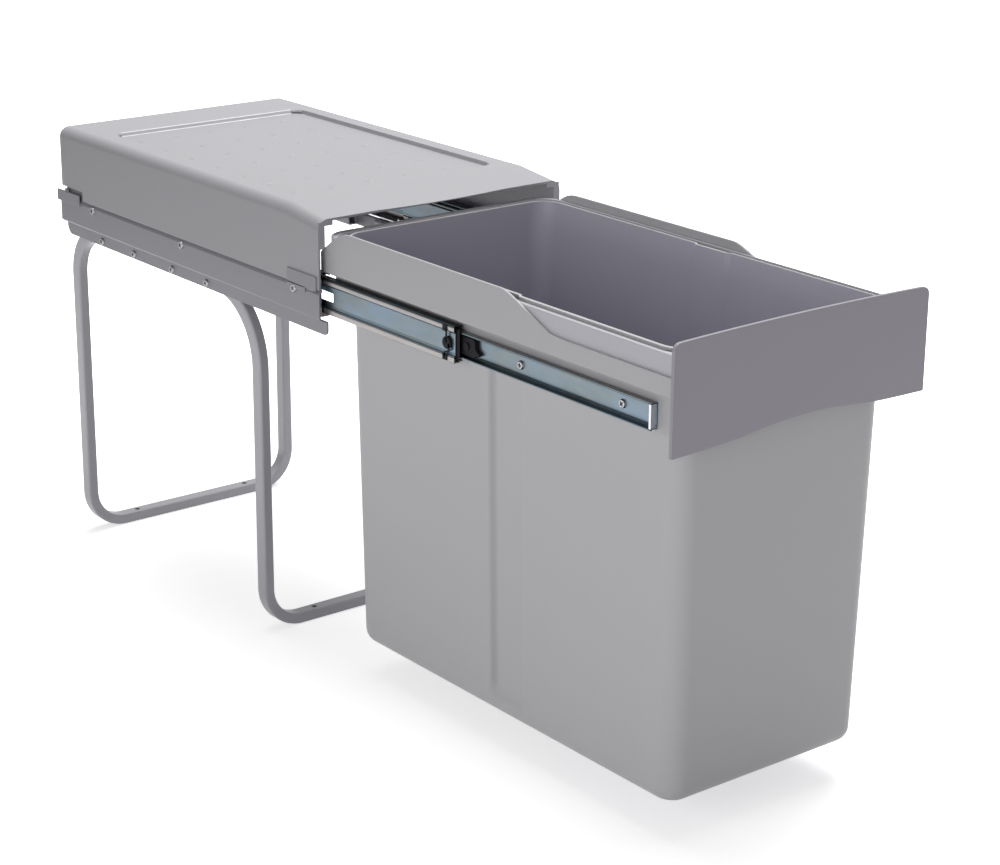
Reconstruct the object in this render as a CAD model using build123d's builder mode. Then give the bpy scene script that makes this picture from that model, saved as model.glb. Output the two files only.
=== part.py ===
from build123d import *

import os

os.makedirs("parts", exist_ok=True)

# Sizes in millimetres. The origin is on the floor, midway between the four floor holes.
# The bin pulls out toward -Y and is drawn fully pulled out.
overall_height = 409.5
cover_width = 256.0
cover_depth = 440.0
pull_out = 434.0
hoop_pitch = 320.0
cover_rear_overhang = 8.0
slide_axis_height = 339.0
running_gap = 0.3
seat_gap = 0.2
overrun = 5.0

half_width = cover_width / 2
cover_back = hoop_pitch / 2 + cover_rear_overhang
cover_front = cover_back - cover_depth

# Moulded cover
cover_wall = 2.0
skirt_height = 65.0
cover_edge_radius = 10.0
cover_corner_radius = 5.0
ramp_length = 48.0
ramp_drop = 5.5
recess_depth = 3.5
recess_side_margin = 24.0
recess_rear_margin = 63.0
recess_front_margin = 63.0
recess_corner_radius = 10.0
recess_wall_slope = 45
scoop_chord = 136.0
scoop_reach = 11.0
scoop_depth = 1.2
front_lip_height = 2.0
return_width = 4.8
return_height = 23.0
corner_block_width = 8.0
corner_block_height = 3.8
notch_length = 43.0
notch_height = 9.0

# Side rails of pressed sheet
rail_wall = 1.5
rail_bend = 1.2
rail_flange_height = 15.5
rail_shoulder_gap = 0.8
rail_shoulder_height = 3.0
rail_band_height = 25.0
rail_step_height = 2.7
rail_step_depth = 6.0
rail_foot_height = 11.8
rail_foot_lead = 2.5
rail_rear_radius = 9.0
rail_front_radius = 5.0
rear_tab_length = 42.0
rear_tab_height = 10.5
rear_tab_overhang = 4.0
rear_tab_drop = 6.0
front_tab_length = 38.0
front_tab_height = 20.0
front_tab_setback = 9.0
front_tab_drop = 11.5
tab_wall = 1.3
rail_dimple_radius = 5.0
rail_dimple_slope = 25
tab_pin_radius = 1.5
tab_pin_setback = 14.0
tab_ear_radius = 3.5
tab_pin_height = 1.2

# Leg hoops of flat-sided tube
tube_width = 10.0
tube_depth = 14.0
tube_wall = 1.2
tube_corner_radius = 2.0
tube_inner_radius = 0.8
hoop_foot_bend = 35.0
rear_top_bend = 47.0
front_top_bend = 65.0
rear_run_length = 130.0
front_run_length = 146.0
hoop_top_cover = 0.8
floor_hole_spacing = 128.0
floor_hole_radius = 2.5

# Telescopic slides, with u measured inward from the rail and v up from the slide's axis
slide_length = 400.0
slide_front_setback = 3.0
inner_front_setback = 22.0
slide_travel = 426.0
middle_lead = 179.0
outer_wall = 1.0
outer_reach = 9.5
outer_lip = 2.1
middle_wall = 1.0
middle_half_height = 15.2
middle_shoulder_offset = 2.7
middle_groove_offset = 4.2
middle_groove_half_height = 8.8
middle_shoulder_half_height = 10.6
middle_reach = 10.4
middle_lip = 2.3
inner_wall = 1.2
inner_half_height = 10.4
inner_web_offset = 12.1
inner_reach = 6.2
slide_bend = 0.7
outer_ball_radius = 1.0
outer_ball_offset = 5.0
inner_ball_radius = 1.75
inner_ball_offset = 7.3
outer_ball_gap = 0.1
inner_ball_gap = 0.15
ball_pocket_gap = 0.15
ball_pitch = 24.0
balls_per_row = 4
cage_length = 110.0
outer_cage_wall = 0.5
outer_cage_offset = 1.7
outer_cage_reach = 7.6
inner_cage_wall = 0.4
inner_cage_offset = 5.15
inner_cage_reach = 8.6
outer_cage_setback = 12.0
inner_cage_overhang = 4.0
window_length = 35.0
window_height = 8.0
window_from_back = 199.0

# Plastic bumpers and release levers on the slides
bumper_length = 13.0
bumper_disc_radius = 3.2
bumper_arm_width = 4.0
bumper_wall = 0.6
bumper_hook_width = 3.0
bumper_arm_height = 14.4
lever_pivot_lead = 9.0
lever_wall = 3.0
lever_length = 16.0
lever_height = 14.4
lever_tail_reach = 5.0
lever_tail_drop = 4.6
lever_tail_root_drop = 1.0
lever_corner_radius = 1.2
lever_pin_radius = 2.0
lever_pin_gap = 0.05
lever_pin_cap_radius = 3.2
lever_pin_cap_height = 0.8

# Carrier plates of bent sheet
plate_wall = 2.0
plate_clearance = 1.0
plate_height = 39.9
plate_rear_inset = 1.8
plate_flange_drop = 33.7
plate_flange_rise = 4.0
plate_flange_setback = 9.0
plate_bend = 1.1
panel_tab_width = 20.0
panel_tab_height = 29.0

# Rounded rear end and sloping front end of the plates: share of the length, share of the height
plate_rear_length = 58.0
plate_rear_shares = ((0, 0.18), (0.155, 0.51), (0.36, 0.74), (0.6, 0.91), (1, 1))
plate_low_length = 139.0
plate_slope_length = 86.0
plate_slope_drop = 24.2
plate_slope_shares = ((0, 1), (0.163, 0.81), (0.512, 0.54), (0.779, 0.23), (0.92, 0.04), (1, 0))

# Support ring round the bin's rim
ring_height = 29.8
ring_wall = 2.3
ring_clearance = 0.3
closed_rear_gap = 2.2
ring_corner_radius = 20.0
ring_front_radius = 6.0
ring_ledge_gap = 0.8
ring_ledge_drop = 4.5
ring_ledge_wall = 2.5
ring_front_land = 6.7
ring_edge_radius = 1.5

# Bin
bin_floor_height = 30.0
bin_wall = 2.5
bin_seat_gap = 1.1
bin_lift_gap = 0.6
bin_draft = 0.92
bin_corner_radius = 20.0
bin_foot_radius = 12.0
collar_height = 25.0
collar_wall = 2.0
collar_side_step = 4.0
collar_end_step = 0.5
flange_side_width = 5.0
flange_end_width = 3.7
flange_wall = 2.4
flange_drop = 2.6
pilaster_place = -490.0
pilaster_width = 41.0
pilaster_depth = 4.0
pilaster_top_drop = 5.0
groove_width = 40.0
groove_depth = 1.2
rim_notch_width = 3.0

# Front panel
panel_width = 255.0
panel_wall = 3.0
panel_top_drop = 7.5
panel_side_height = 83.7
panel_corner_radius = 6.0
panel_wave_height = 8.1
panel_wave_shares = (
    (-1, 0), (-0.73, 0.14), (-0.47, 0.41), (-0.24, 0.8), (0, 1),
    (0.25, 0.93), (0.5, 0.54), (0.76, 0.34), (1, 0.26),
)

# Screws
screw_head_radius = 3.6
screw_head_height = 1.8
screw_shank_radius = 2.0
screw_hole_gap = 0.1
screw_head_slope = 20
rail_screw_places = (106.0, -54.0, -231.0)
leg_screw_places = (101.0, 42.0, -26.0, -85.0)
leg_screw_height = 309.7
leg_screw_grip = 6.0
inner_screw_places = (-520.0, -637.0)
panel_screw_spacing = 16.0
panel_screw_bite = 2.0

# Heights and depths that several pieces share
skirt_bottom = overall_height - skirt_height
panel_face = cover_front - pull_out
panel_back = panel_face + panel_wall
rail_band_bottom = skirt_bottom - rail_band_height
rail_bottom = rail_band_bottom - rail_step_height - rail_foot_height
slide_face = half_width - cover_wall - seat_gap - rail_wall
rail_foot_face = half_width - rail_step_depth
hoop_run_height = rail_band_bottom - rail_step_height - hoop_top_cover - tube_depth / 2
hoop_leg_place = rail_foot_face - rail_wall - tube_width / 2
slide_front = cover_front + slide_front_setback
middle_front = slide_front - middle_lead
inner_front = slide_front + inner_front_setback - slide_travel
outer_half_height = middle_half_height + 2 * outer_ball_gap + 2 * outer_ball_radius + outer_wall
outer_ball_height = middle_half_height + outer_ball_gap + outer_ball_radius
inner_ball_height = inner_half_height + inner_ball_gap + inner_ball_radius
outer_cage_front = slide_front + outer_cage_setback
inner_cage_front = middle_front - inner_cage_overhang
inner_face = slide_face - inner_web_offset - inner_wall / 2
plate_face = half_width - cover_wall - return_width - plate_clearance
plate_bottom = slide_axis_height + outer_half_height + running_gap
plate_top = plate_bottom + plate_height
plate_flange_inner = inner_face - plate_wall
ring_rear = cover_back - cover_wall - closed_rear_gap - slide_travel
plate_rear = ring_rear - plate_rear_inset
ring_half_width = plate_face - plate_wall - ring_clearance
ring_bottom = plate_bottom + plate_wall
ring_top = ring_bottom + ring_height
ledge_top = ring_top - ring_ledge_drop
flange_half_width = ring_half_width - ring_wall - bin_seat_gap
flange_rear = cover_front - bin_lift_gap
flange_front = panel_back + ring_front_land + bin_seat_gap
collar_half_width = flange_half_width - flange_side_width
collar_rear = flange_rear - flange_end_width
collar_front = flange_front + flange_end_width
rim_top = ledge_top + flange_wall + flange_drop
collar_bottom = rim_top - collar_height
body_half_width = collar_half_width - collar_side_step
body_rear = collar_rear - collar_end_step
body_front = collar_front + collar_end_step
panel_top = overall_height - panel_top_drop
lever_pivot_place = middle_front - lever_pivot_lead


def save(builder, name):
    """Write one finished piece under its name."""
    builder.part.label = name
    export_step(builder.part, f"parts/{name}.step")


def save_pair(builder, name):
    """Write a left piece and its mirror image on the right."""
    save(builder, f"left_{name}")
    with BuildPart() as opposite:
        mirror(builder.part, about=Plane.YZ)
    save(opposite, f"right_{name}")


def bent_strip(points, wall, bend):
    """Draw the section of a bent sheet along its middle line in the open sketch."""
    with BuildLine() as middle_line:
        FilletPolyline(*points, radius=bend)
    trace(middle_line.line, line_width=wall)


def slide_section(points, wall):
    """Draw a slide member's section, mirrored about its axis, from points (u, v)."""
    upper = [(u - slide_face, slide_axis_height + v) for u, v in points]
    lower = [(u - slide_face, slide_axis_height - v) for u, v in reversed(points)]
    bent_strip(upper + lower, wall, slide_bend)


def screws_across(places, seat, grip):
    """Add screws along X to the open part on both sides, with their heads outside the seat."""
    for side in (-1, 1):
        with BuildSketch(Plane.YZ.offset(side * seat)) as heads:
            with Locations(*places):
                Circle(screw_head_radius)
        extrude(heads.sketch, amount=side * screw_head_height, taper=screw_head_slope)
        with BuildSketch(Plane.YZ.offset(side * seat)) as shanks:
            with Locations(*places):
                Circle(screw_shank_radius)
        extrude(shanks.sketch, amount=-side * grip)


def holes_across(places, radius):
    """Cut round holes along X right through the open part."""
    with BuildSketch(Plane.YZ.offset(-half_width - overrun)) as drills:
        with Locations(*places):
            Circle(radius)
    extrude(drills.sketch, amount=cover_width + 2 * overrun, mode=Mode.SUBTRACT)


def outline(half_span, rear, front, rear_radius, front_radius):
    """Draw a plan outline, symmetrical about the middle, in the open sketch."""
    with BuildLine() as edge_line:
        FilletPolyline(
            (-half_span, rear), (-half_span, front), (half_span, front), (half_span, rear),
            radius=[rear_radius, front_radius, front_radius, rear_radius],
            close=True,
        )
    make_face(edge_line.line.edges())


def cover_block(inset, reach):
    """Make the cover's outside or, inset by the wall and reaching past the open sides, its hollow."""
    block_back = cover_back - inset
    block_front = cover_front - reach
    block_top = overall_height - inset
    front_top = block_top - (ramp_length + reach) * ramp_drop / ramp_length
    with BuildPart() as block:
        with BuildSketch(Plane.YZ.offset(inset - half_width)):
            with BuildLine():
                Polyline(
                    (block_back, skirt_bottom - reach),
                    (block_back, block_top),
                    (cover_front + ramp_length, block_top),
                    (block_front, front_top),
                    (block_front, skirt_bottom - reach),
                    close=True,
                )
            make_face()
        extrude(amount=cover_width - 2 * inset)
        along_sides = block.edges().filter_by(
            lambda edge: abs(edge.center().X) > half_width - inset - seat_gap
            and edge.center().Z > front_top
        )
        fillet(along_sides, cover_edge_radius - inset)
        rear_face = block.faces().sort_by(Axis.Y)[-1]
        fillet(rear_face.edges() - rear_face.edges().group_by(Axis.Z)[0], cover_corner_radius - inset)
    return block


# Moulded cover: an open-fronted shell with a ramped front, a recessed top and a finger scoop
with BuildPart() as lid_cover:
    add(cover_block(0, 0).part)
    add(cover_block(cover_wall, overrun).part, mode=Mode.SUBTRACT)

    # The sunk panel on top, with the wall carried round below it
    recess_width = cover_width - 2 * recess_side_margin
    recess_length = cover_depth - recess_rear_margin - recess_front_margin
    recess_place = (0, (cover_back - recess_rear_margin + cover_front + recess_front_margin) / 2)
    with BuildSketch(Plane.XY.offset(overall_height - recess_depth - cover_wall)):
        with Locations(recess_place):
            RectangleRounded(recess_width, recess_length, recess_corner_radius)
    extrude(amount=recess_depth)
    with BuildSketch(Plane.XY.offset(overall_height)):
        with Locations(recess_place):
            RectangleRounded(recess_width, recess_length, recess_corner_radius)
    extrude(amount=-recess_depth, taper=recess_wall_slope, mode=Mode.SUBTRACT)

    # The front edge: a lip under the ramp, side returns and corner blocks
    front_plane = Plane.XZ.offset(-cover_front)
    ramp_underside = overall_height - ramp_drop - cover_wall
    lip_half_width = half_width - cover_edge_radius
    return_face = half_width - cover_wall / 2
    return_inner = half_width - cover_wall - return_width
    with BuildSketch(front_plane.offset(-cover_wall)):
        with Locations((0, ramp_underside)):
            Rectangle(2 * lip_half_width, 2 * front_lip_height)
        for side in (-1, 1):
            with Locations((side * return_face, ramp_underside - return_height)):
                Rectangle(
                    return_face - return_inner, return_height,
                    align=(Align.MAX if side > 0 else Align.MIN, Align.MIN),
                )
            with Locations((side * return_inner, ramp_underside)):
                Rectangle(
                    corner_block_width, corner_block_height,
                    align=(Align.MAX if side > 0 else Align.MIN, Align.MAX),
                )
    extrude(amount=cover_wall)

    # Notches at the rear for the rails' upper tabs
    for side in (-1, 1):
        with BuildSketch(Plane.YZ.offset(side * (half_width + overrun))):
            with Locations((cover_back + overrun, skirt_bottom - overrun)):
                Rectangle(
                    notch_length + overrun, notch_height + overrun, align=(Align.MAX, Align.MIN)
                )
        extrude(amount=-side * (cover_wall + 2 * overrun), mode=Mode.SUBTRACT)

    # The finger scoop is cut by a large cylinder that dips toward the front edge
    scoop_radius = (scoop_chord**2 / 4 + scoop_depth**2) / (2 * scoop_depth)
    ramp = Vector(0, -ramp_length, -ramp_drop).normalized()
    dip = Vector(0, -scoop_reach, -scoop_depth - scoop_reach * ramp_drop / ramp_length).normalized()
    front_edge = Vector(0, cover_front, overall_height - ramp_drop)
    apex = front_edge - ramp * scoop_reach
    upward = Vector(1, 0, 0).cross(dip) * -1
    scoop_plane = Plane(
        origin=apex + upward * scoop_radius - dip * scoop_reach, x_dir=(1, 0, 0), z_dir=dip
    )
    with BuildSketch(scoop_plane):
        Circle(scoop_radius)
    extrude(amount=3 * scoop_reach, mode=Mode.SUBTRACT)
save(lid_cover, "lid_cover")

# Side rails: a bent strip cut to its side outline, with tabs outside the cover
rail_screw_seats = [(place, slide_axis_height) for place in rail_screw_places]
leg_screw_seats = [(place, leg_screw_height) for place in leg_screw_places]
flange_line = slide_face + rail_wall / 2
band_line = half_width - rail_wall / 2
foot_line = rail_foot_face - rail_wall / 2
rail_top = skirt_bottom + rail_flange_height
tab_pin_place = (cover_back - tab_pin_setback, skirt_bottom - rear_tab_drop + rear_tab_height)
with BuildPart() as side_rail:
    with BuildSketch(Plane.XZ.offset(-cover_back)):
        bent_strip(
            [
                (-flange_line, rail_top),
                (-flange_line, skirt_bottom - rail_shoulder_gap),
                (-band_line, skirt_bottom - rail_shoulder_gap - rail_shoulder_height),
                (-band_line, rail_band_bottom),
                (-foot_line, rail_band_bottom - rail_step_height),
                (-foot_line, rail_bottom),
            ],
            rail_wall,
            rail_bend,
        )
    extrude(amount=cover_depth + rail_foot_lead)
    with BuildSketch(Plane.YZ.offset(-half_width - overrun)):
        upper_rear = cover_back - cover_edge_radius
        upper_front = cover_front + cover_wall + running_gap
        with BuildLine():
            FilletPolyline(
                (upper_rear, rail_top),
                (upper_rear, skirt_bottom),
                (cover_back, skirt_bottom),
                (cover_back, rail_bottom),
                (cover_front - rail_foot_lead, rail_bottom),
                (cover_front - rail_foot_lead, rail_band_bottom),
                (cover_front, rail_band_bottom),
                (cover_front, skirt_bottom),
                (upper_front, skirt_bottom),
                (upper_front, rail_top),
                radius=[0, 0, 0, rail_rear_radius, rail_front_radius, 0, 0, 0, 0, 0],
                close=True,
            )
        make_face()
    extrude(amount=half_width, mode=Mode.INTERSECT)

    # Dimples carry the slide off the band, and tabs hold the cover from outside
    with BuildSketch(Plane.YZ.offset(rail_wall - half_width)):
        with Locations(*rail_screw_seats):
            Circle(rail_dimple_radius)
    extrude(amount=half_width - rail_wall - slide_face, taper=rail_dimple_slope)
    with BuildSketch(Plane.YZ.offset(-half_width)):
        with Locations((cover_back + rear_tab_overhang, skirt_bottom - rear_tab_drop)):
            Rectangle(rear_tab_length, rear_tab_height, align=(Align.MAX, Align.MIN))
        with Locations((cover_front + front_tab_setback, skirt_bottom - front_tab_drop)):
            Rectangle(front_tab_length, front_tab_height, align=(Align.MIN, Align.MIN))
        with Locations(tab_pin_place):
            Circle(tab_ear_radius)
    extrude(amount=-tab_wall)
    with BuildSketch(Plane.YZ.offset(-half_width - tab_wall)):
        with Locations(tab_pin_place):
            Circle(tab_pin_radius)
    extrude(amount=-tab_pin_height)
    holes_across(rail_screw_seats + leg_screw_seats, screw_shank_radius + screw_hole_gap)
save_pair(side_rail, "side_rail")

# Screws along X: through the rails into the slides, and through the rails into the hoops
with BuildPart() as rail_screws:
    rail_screw_grip = half_width - slide_face + outer_wall
    screws_across(rail_screw_seats[:-1], half_width, rail_screw_grip)
    screws_across(rail_screw_seats[-1:], half_width + tab_wall, rail_screw_grip + tab_wall)
save(rail_screws, "rail_screws")

with BuildPart() as leg_screws:
    screws_across(leg_screw_seats, rail_foot_face, leg_screw_grip)
save(leg_screws, "leg_screws")


def leg_hoop(place, inward, run_length, top_bend):
    """Bend one hoop of tube: two legs, a bar on the floor and top runs toward the middle."""
    run_end = place + inward * run_length
    bar_height = tube_width / 2
    with BuildPart() as hoop:
        with BuildLine():
            FilletPolyline(
                (-hoop_leg_place, run_end, hoop_run_height),
                (-hoop_leg_place, place, hoop_run_height),
                (-hoop_leg_place, place, bar_height),
                (hoop_leg_place, place, bar_height),
                (hoop_leg_place, place, hoop_run_height),
                (hoop_leg_place, run_end, hoop_run_height),
                radius=[top_bend, hoop_foot_bend, hoop_foot_bend, top_bend],
            )
        start = Plane(
            origin=(-hoop_leg_place, run_end, hoop_run_height),
            x_dir=(1, 0, 0),
            z_dir=(0, -inward, 0),
        )
        with BuildSketch(start):
            RectangleRounded(tube_width, tube_depth, tube_corner_radius)
            RectangleRounded(
                tube_width - 2 * tube_wall, tube_depth - 2 * tube_wall, tube_inner_radius,
                mode=Mode.SUBTRACT,
            )
        sweep()
        with BuildSketch(Plane.XY.offset(-overrun)):
            with Locations((-floor_hole_spacing / 2, place), (floor_hole_spacing / 2, place)):
                Circle(floor_hole_radius)
        extrude(amount=tube_width + 2 * overrun, mode=Mode.SUBTRACT)
        seats = [seat for seat in leg_screw_seats if (seat[0] - place) * (seat[0] - run_end) < 0]
        holes_across(seats, screw_shank_radius + screw_hole_gap)
    return hoop


save(leg_hoop(hoop_pitch / 2, -1, rear_run_length, rear_top_bend), "rear_leg_hoop")
save(leg_hoop(-hoop_pitch / 2, 1, front_run_length, front_top_bend), "front_leg_hoop")

# Telescopic slides: three nested channels with two pairs of ball rows between them
outer_middle = outer_half_height - outer_wall / 2
outer_lip_place = outer_reach - outer_wall / 2
with BuildPart() as outer_slide:
    with BuildSketch(Plane.XZ.offset(-slide_front - slide_length)):
        slide_section(
            [
                (outer_lip_place, outer_half_height - outer_lip),
                (outer_lip_place, outer_middle),
                (outer_wall / 2, outer_middle),
            ],
            outer_wall,
        )
    extrude(amount=slide_length)
    holes_across(rail_screw_seats, screw_shank_radius + screw_hole_gap)
save_pair(outer_slide, "outer_slide")

middle_middle = middle_half_height - middle_wall / 2
middle_lip_place = middle_reach - middle_wall / 2
middle_back = middle_front + slide_length
with BuildPart() as middle_slide:
    with BuildSketch(Plane.XZ.offset(-middle_back)):
        slide_section(
            [
                (middle_lip_place, middle_half_height - middle_lip),
                (middle_lip_place, middle_middle),
                (middle_shoulder_offset, middle_middle),
                (middle_shoulder_offset, middle_shoulder_half_height),
                (middle_groove_offset, middle_groove_half_height),
            ],
            middle_wall,
        )
    extrude(amount=slide_length)
    with BuildSketch(Plane.YZ.offset(-half_width)):
        with Locations((middle_back - window_from_back, slide_axis_height)):
            Rectangle(window_length, window_height, align=(Align.MAX, Align.CENTER))
    extrude(amount=half_width, mode=Mode.SUBTRACT)
save_pair(middle_slide, "middle_slide")

inner_middle = inner_half_height - inner_wall / 2
inner_screw_seats = [(place, slide_axis_height) for place in inner_screw_places]
lever_pin_seat = (lever_pivot_place, slide_axis_height)
with BuildPart() as inner_slide:
    with BuildSketch(Plane.XZ.offset(-inner_front - slide_length)):
        slide_section([(inner_reach, inner_middle), (inner_web_offset, inner_middle)], inner_wall)
    extrude(amount=slide_length)
    holes_across(inner_screw_seats, screw_shank_radius + screw_hole_gap)
save_pair(inner_slide, "inner_slide")


def ball_places(front, offset, height):
    """List the ball centres of the two rows in one cage on the left side."""
    margin = (cage_length - (balls_per_row - 1) * ball_pitch) / 2
    return [
        (offset - slide_face, front + margin + index * ball_pitch, slide_axis_height + level)
        for index in range(balls_per_row)
        for level in (-height, height)
    ]


def ball_cage(front, web, reach, height, wall, places, pocket_radius):
    """Bend one cage and cut its ball pockets through both flanges."""
    with BuildPart() as cage:
        with BuildSketch(Plane.XZ.offset(-front - cage_length)):
            slide_section([(reach, height), (web, height)], wall)
        extrude(amount=cage_length)
        with BuildSketch(Plane.XY.offset(slide_axis_height - height - overrun)):
            with Locations(*[(x, y) for x, y, z in places if z > slide_axis_height]):
                Circle(pocket_radius)
        extrude(amount=2 * height + 2 * overrun, mode=Mode.SUBTRACT)
    return cage


def ball_rows(places, radius):
    """Make the loose balls of one cage."""
    with BuildPart() as rows:
        with Locations(*places):
            Sphere(radius)
    return rows


outer_balls = ball_places(outer_cage_front, outer_ball_offset, outer_ball_height)
outer_cage = ball_cage(
    outer_cage_front, outer_cage_offset, outer_cage_reach, outer_ball_height, outer_cage_wall,
    outer_balls, outer_ball_radius + ball_pocket_gap,
)
save_pair(outer_cage, "outer_cage")
save_pair(ball_rows(outer_balls, outer_ball_radius), "outer_balls")

inner_balls = ball_places(inner_cage_front, inner_ball_offset, inner_ball_height)
inner_cage = ball_cage(
    inner_cage_front, inner_cage_offset, inner_cage_reach, inner_ball_height, inner_cage_wall,
    inner_balls, inner_ball_radius + ball_pocket_gap,
)
save_pair(inner_cage, "inner_cage")
save_pair(ball_rows(inner_balls, inner_ball_radius), "inner_balls")

# End bumper clipped over the web of the middle member
bumper_place = middle_front + bumper_length / 2
shoulder_face = slide_face - middle_shoulder_offset + middle_wall / 2
groove_face = slide_face - middle_groove_offset + middle_wall / 2
with BuildPart() as end_bumper:
    with BuildSketch(Plane.YZ.offset(-shoulder_face)):
        with Locations((bumper_place, slide_axis_height)):
            Rectangle(bumper_arm_width, 2 * bumper_arm_height)
        for level in (-1, 1):
            with Locations((bumper_place, slide_axis_height + level * bumper_arm_height)):
                Rectangle(
                    bumper_arm_width / 2 + bumper_hook_width, bumper_hook_width,
                    align=(Align.MIN if level > 0 else Align.MAX, Align.MAX if level > 0 else Align.MIN),
                )
    extrude(amount=-bumper_wall)
    with BuildSketch(Plane.YZ.offset(-groove_face)):
        with Locations((bumper_place, slide_axis_height)):
            Circle(bumper_disc_radius)
    extrude(amount=groove_face - shoulder_face - bumper_wall)
save_pair(end_bumper, "end_bumper")

# Release lever that turns on a pin in the inner member's web
inner_web_face = inner_face + inner_wall
with BuildPart() as release_lever:
    with BuildSketch(Plane.YZ.offset(-inner_web_face - running_gap)):
        lever_front = lever_pivot_place - lever_length / 2
        lever_half_height = lever_height / 2
        with BuildLine():
            FilletPolyline(
                (lever_pivot_place + lever_length / 2, slide_axis_height + lever_half_height),
                (lever_front, slide_axis_height + lever_half_height),
                (lever_front, slide_axis_height - lever_tail_root_drop),
                (lever_front - lever_tail_reach, slide_axis_height - lever_tail_drop),
                (lever_front, slide_axis_height - lever_half_height),
                (lever_pivot_place + lever_length / 2, slide_axis_height - lever_half_height),
                radius=lever_corner_radius,
                close=True,
            )
        make_face()
        with Locations(lever_pin_seat):
            Circle(lever_pin_radius + lever_pin_gap, mode=Mode.SUBTRACT)
    extrude(amount=-lever_wall)
save_pair(release_lever, "release_lever")

with BuildPart() as lever_pin:
    pin_head_face = inner_web_face + running_gap + lever_wall + running_gap
    with BuildSketch(Plane.YZ.offset(-inner_web_face)):
        with Locations(lever_pin_seat):
            Circle(lever_pin_radius)
    extrude(amount=inner_web_face - pin_head_face)
    with BuildSketch(Plane.YZ.offset(-pin_head_face)):
        with Locations(lever_pin_seat):
            Circle(lever_pin_cap_radius)
    extrude(amount=-lever_pin_cap_height)
save_pair(lever_pin, "lever_pin")

# Carrier plates: bent sheet that hangs the ring and the inner slide, cut to its side outline
plate_line = plate_face - plate_wall / 2
plate_shelf_line = plate_bottom + plate_wall / 2
plate_flange_line = plate_flange_inner + plate_wall / 2
plate_flange_bottom = ring_bottom - plate_flange_drop
plate_low_top = plate_top - plate_slope_drop
plate_slope_end = panel_back + plate_low_length
panel_tab_face = panel_back + plate_wall
panel_tab_place = panel_tab_width / 2 - plate_flange_inner
panel_screw_height = plate_flange_bottom + panel_tab_height / 2
with BuildPart() as carrier_plate:
    with BuildSketch(Plane.XZ.offset(-plate_rear)):
        bent_strip(
            [
                (-plate_line, plate_top),
                (-plate_line, plate_shelf_line),
                (-plate_flange_line, plate_shelf_line),
                (-plate_flange_line, plate_flange_bottom),
            ],
            plate_wall,
            plate_bend,
        )
    extrude(amount=plate_rear - panel_back)
    with BuildSketch(Plane.YZ.offset(-half_width)):
        with BuildLine():
            rear_curve = Spline(
                [
                    (plate_rear - share * plate_rear_length, plate_bottom + rise * plate_height)
                    for share, rise in plate_rear_shares
                ]
            )
            front_curve = Spline(
                [
                    (
                        plate_slope_end + (1 - share) * plate_slope_length,
                        plate_low_top + rise * plate_slope_drop,
                    )
                    for share, rise in plate_slope_shares
                ]
            )
            Line(rear_curve @ 1, front_curve @ 0)
            Polyline(
                front_curve @ 1,
                (panel_back, plate_low_top),
                (panel_back, plate_flange_bottom),
                (plate_rear - plate_flange_setback, plate_flange_bottom + plate_flange_rise),
                (plate_rear - plate_flange_setback, plate_bottom),
                (plate_rear, plate_bottom),
                rear_curve @ 0,
            )
        make_face()
    extrude(amount=half_width, mode=Mode.INTERSECT)
    with BuildSketch(Plane.XZ.offset(-panel_tab_face)):
        with Locations((-inner_face, plate_flange_bottom)):
            Rectangle(panel_tab_width + plate_wall, panel_tab_height, align=(Align.MIN, Align.MIN))
    extrude(amount=plate_wall)
    panel_screw_seats = [
        (panel_tab_place, panel_screw_height + level * panel_screw_spacing / 2) for level in (-1, 1)
    ]
    with BuildSketch(Plane.XZ.offset(-panel_tab_face)):
        with Locations(*panel_screw_seats):
            Circle(screw_shank_radius + screw_hole_gap)
    extrude(amount=plate_wall, mode=Mode.SUBTRACT)
    holes_across(inner_screw_seats, screw_shank_radius + screw_hole_gap)
save_pair(carrier_plate, "carrier_plate")

with BuildPart() as slide_screws:
    screws_across(inner_screw_seats, inner_web_face, inner_wall + plate_wall)
save(slide_screws, "slide_screws")

with BuildPart() as panel_screws:
    both_sides = [(side * x, z) for side in (-1, 1) for x, z in panel_screw_seats]
    with BuildSketch(Plane.XZ.offset(-panel_tab_face)):
        with Locations(*both_sides):
            Circle(screw_head_radius)
    extrude(amount=-screw_head_height, taper=screw_head_slope)
    with BuildSketch(Plane.XZ.offset(-panel_tab_face)):
        with Locations(*both_sides):
            Circle(screw_shank_radius)
    extrude(amount=plate_wall + panel_screw_bite)
save(panel_screws, "panel_screws")

# Support ring that holds the bin by its flange
with BuildPart() as support_ring:
    ring_inner_half = ring_half_width - ring_wall
    ring_inner_rear = flange_rear + bin_seat_gap
    ring_inner_front = panel_back + ring_front_land
    ring_inner_radius = ring_corner_radius - ring_wall
    with BuildSketch(Plane.XY.offset(ring_bottom)):
        outline(ring_half_width, ring_rear, panel_back, ring_corner_radius, ring_front_radius)
    extrude(amount=ring_height)
    fillet(support_ring.faces().sort_by(Axis.Z)[-1].edges(), ring_edge_radius)
    with BuildSketch(Plane.XY.offset(ring_bottom)):
        outline(
            ring_inner_half, ring_inner_rear, ring_inner_front, ring_inner_radius, ring_inner_radius
        )
    extrude(amount=ring_height, mode=Mode.SUBTRACT)
    with BuildSketch(Plane.XY.offset(ledge_top - ring_ledge_wall)):
        outline(
            ring_inner_half + ring_wall / 2, ring_inner_rear + ring_wall / 2,
            ring_inner_front - ring_wall / 2, ring_corner_radius, ring_corner_radius,
        )
        with BuildSketch(mode=Mode.SUBTRACT):
            outline(
                collar_half_width + ring_ledge_gap, collar_rear + ring_ledge_gap,
                collar_front - ring_ledge_gap, ring_inner_radius - flange_side_width,
                ring_inner_radius - flange_side_width,
            )
    extrude(amount=ring_ledge_wall)
save(support_ring, "support_ring")

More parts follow.
